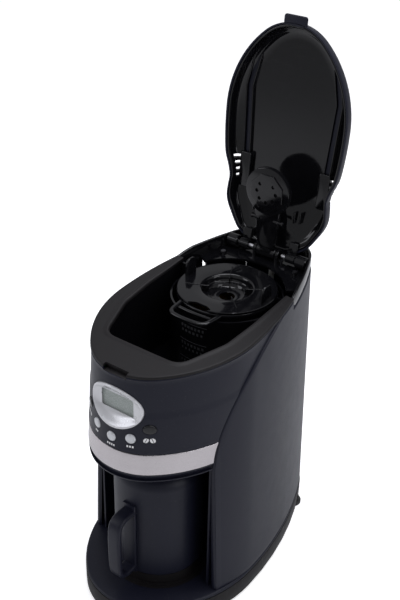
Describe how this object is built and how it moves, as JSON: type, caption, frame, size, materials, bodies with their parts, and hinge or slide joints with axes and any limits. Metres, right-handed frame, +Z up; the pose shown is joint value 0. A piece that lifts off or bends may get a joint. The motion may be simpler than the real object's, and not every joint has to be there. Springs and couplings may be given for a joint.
{
  "type": "drip coffee maker",
  "caption": "Tall drip coffee maker with a built-in grinder, lift-up lid, swinging shower arm, lift-out brew basket and insulated carafe.",
  "frame": {"origin": "on the table, below the centre of the overall box with the lid open, on the machine's middle plane", "axes": "+Z up, front of the machine towards -Y, +X to the right of a person facing the front"},
  "size_m": [0.214, 0.361, 0.6468],
  "materials": {
    "satin_black": "satin",
    "deck_black": "fine grain",
    "gloss_black": "gloss",
    "silver_plastic": "metallic paint",
    "band_steel": "brushed",
    "inner_steel": "satin",
    "display_glass": "clear",
    "display_grey": "satin",
    "circuit_green": "satin",
    "black_rubber": "matte",
    "cast_aluminium": "as cast",
    "tube_silicone": "translucent",
    "white_ceramic": "glazed",
    "motor_steel": "zinc plated",
    "filter_mesh": "fine mesh",
    "inner_grey": "satin",
    "key_silver": "metallic paint"
  },
  "bodies": {
    "machine": {"base_pan": "deck_black", "base_cover": "satin_black", "rubber_feet": "black_rubber", "base_screws": "motor_steel", "carafe_rest_plate": "deck_black", "bay_back_wall": "satin_black", "bay_ceiling": "satin_black", "side_panel_left": "satin_black", "side_panel_right": "satin_black", "rear_cover": "satin_black", "front_housing": "satin_black", "top_deck": "deck_black", "steel_band": "band_steel", "lower_lip": "satin_black", "water_tank": "gloss_black", "rear_collar": "gloss_black", "collar_screws": "motor_steel", "hinge_pins": "motor_steel", "arm_pivot_pin": "motor_steel", "lcd_bezel": "silver_plastic", "lcd_window": "display_glass", "lcd_panel": "display_grey", "control_board": "circuit_green", "power_board": "circuit_green", "heater_block": "cast_aluminium", "thermostat": "white_ceramic", "thermal_fuse": "white_ceramic", "cold_water_tube": "tube_silicone", "hot_water_tube": "tube_silicone", "check_valve": "inner_grey", "grinder_motor": "motor_steel", "motor_mount": "inner_grey", "drip_channel": "inner_grey", "drip_spring": "inner_steel", "cord_gland": "black_rubber"},
    "motor_rotor": {"motor_shaft": "inner_steel"},
    "grinder_drive": {"blade_coupling": "inner_grey", "grinder_blade": "inner_steel"},
    "brew_basket": {"brew_basket": "gloss_black"},
    "filter": {"permanent_filter": "filter_mesh"},
    "basket_lid": {"basket_lid": "gloss_black"},
    "lid": {"lid_outer_shell": "satin_black", "lid_inner_liner": "gloss_black"},
    "shower_arm": {"shower_arm": "gloss_black", "shower_cap": "gloss_black"},
    "hour_button": {"button_hour": "key_silver"},
    "program_button": {"button_program": "key_silver"},
    "minute_button": {"button_minute": "key_silver"},
    "grind_off_button": {"button_grind_off": "gloss_black"},
    "brew_button": {"button_brew": "gloss_black"},
    "drip_stop": {"drip_plunger": "black_rubber"},
    "carafe": {"carafe_body": "satin_black", "carafe_liner": "inner_steel", "carafe_base": "deck_black", "carafe_handle": "satin_black"},
    "carafe_lid": {"carafe_lid": "deck_black"},
    "carafe_lever": {"carafe_lever": "deck_black"}
  },
  "joints": [
    {"name": "lid_hinge", "type": "hinge", "parent": "machine", "child": "lid", "pos_m": [0, 0.12852, 0.365], "axis": [-1, 0, 0], "range_deg": [-100, 0]},
    {"name": "shower_arm_hinge", "type": "hinge", "parent": "machine", "child": "shower_arm", "pos_m": [0, 0.12852, 0.365], "axis": [-1, 0, 0], "range_deg": [-90, 0]},
    {"name": "motor_spin", "type": "hinge", "parent": "machine", "child": "motor_rotor", "pos_m": [0, 0.04352, 0.23], "axis": [0, 0, 1], "continuous": true},
    {"name": "blade_spin", "type": "hinge", "parent": "brew_basket", "child": "grinder_drive", "pos_m": [0, 0.04352, 0.27], "axis": [0, 0, 1], "continuous": true},
    {"name": "basket_lift", "type": "slide", "parent": "machine", "child": "brew_basket", "axis": [0, 0, 1], "range_m": [0, 0.13]},
    {"name": "filter_lift", "type": "slide", "parent": "brew_basket", "child": "filter", "axis": [0, 0, 1], "range_m": [0, 0.09]},
    {"name": "basket_lid_lift", "type": "slide", "parent": "filter", "child": "basket_lid", "axis": [0, 0, 1], "range_m": [0, 0.05]},
    {"name": "hour_press", "type": "slide", "parent": "machine", "child": "hour_button", "axis": [0.3384, 0.941, 0], "range_m": [0, 0.0015], "stiffness_N_per_m": 800, "springref_m": -0.0005},
    {"name": "program_press", "type": "slide", "parent": "machine", "child": "program_button", "axis": [0, 1, 0], "range_m": [0, 0.0015], "stiffness_N_per_m": 800, "springref_m": -0.0005},
    {"name": "minute_press", "type": "slide", "parent": "machine", "child": "minute_button", "axis": [-0.3384, 0.941, 0], "range_m": [0, 0.0015], "stiffness_N_per_m": 800, "springref_m": -0.0005},
    {"name": "grind_off_press", "type": "slide", "parent": "machine", "child": "grind_off_button", "axis": [-0.5993, 0.8005, 0], "range_m": [0, 0.0015], "stiffness_N_per_m": 800, "springref_m": -0.0005},
    {"name": "brew_press", "type": "slide", "parent": "machine", "child": "brew_button", "axis": [0.5993, 0.8005, 0], "range_m": [0, 0.0015], "stiffness_N_per_m": 800, "springref_m": -0.0005},
    {"name": "drip_stop_lift", "type": "slide", "parent": "machine", "child": "drip_stop", "axis": [0, 0, 1], "range_m": [0, 0.003], "stiffness_N_per_m": 250, "deforming": ["drip_spring"]},
    {"name": "carafe_slide", "type": "slide", "parent": "machine", "child": "carafe", "axis": [0, -1, 0], "range_m": [0, 0.2]},
    {"name": "carafe_lid_twist", "type": "hinge", "parent": "carafe", "child": "carafe_lid", "pos_m": [0, -0.08448, 0.19], "axis": [0, 0, 1], "range_deg": [0, 60]},
    {"name": "carafe_lever_press", "type": "hinge", "parent": "carafe_lid", "child": "carafe_lever", "pos_m": [0, -0.11848, 0.1985], "axis": [1, 0, 0], "range_deg": [0, 10], "stiffness_Nm_per_rad": 0.05, "springref_deg": -5.73}
  ],
  "couplings": [
    {"joint": "shower_arm_hinge", "follows": "lid_hinge", "ratio": 0.9},
    {"joint": "blade_spin", "follows": "motor_spin", "ratio": 1}
  ]
}
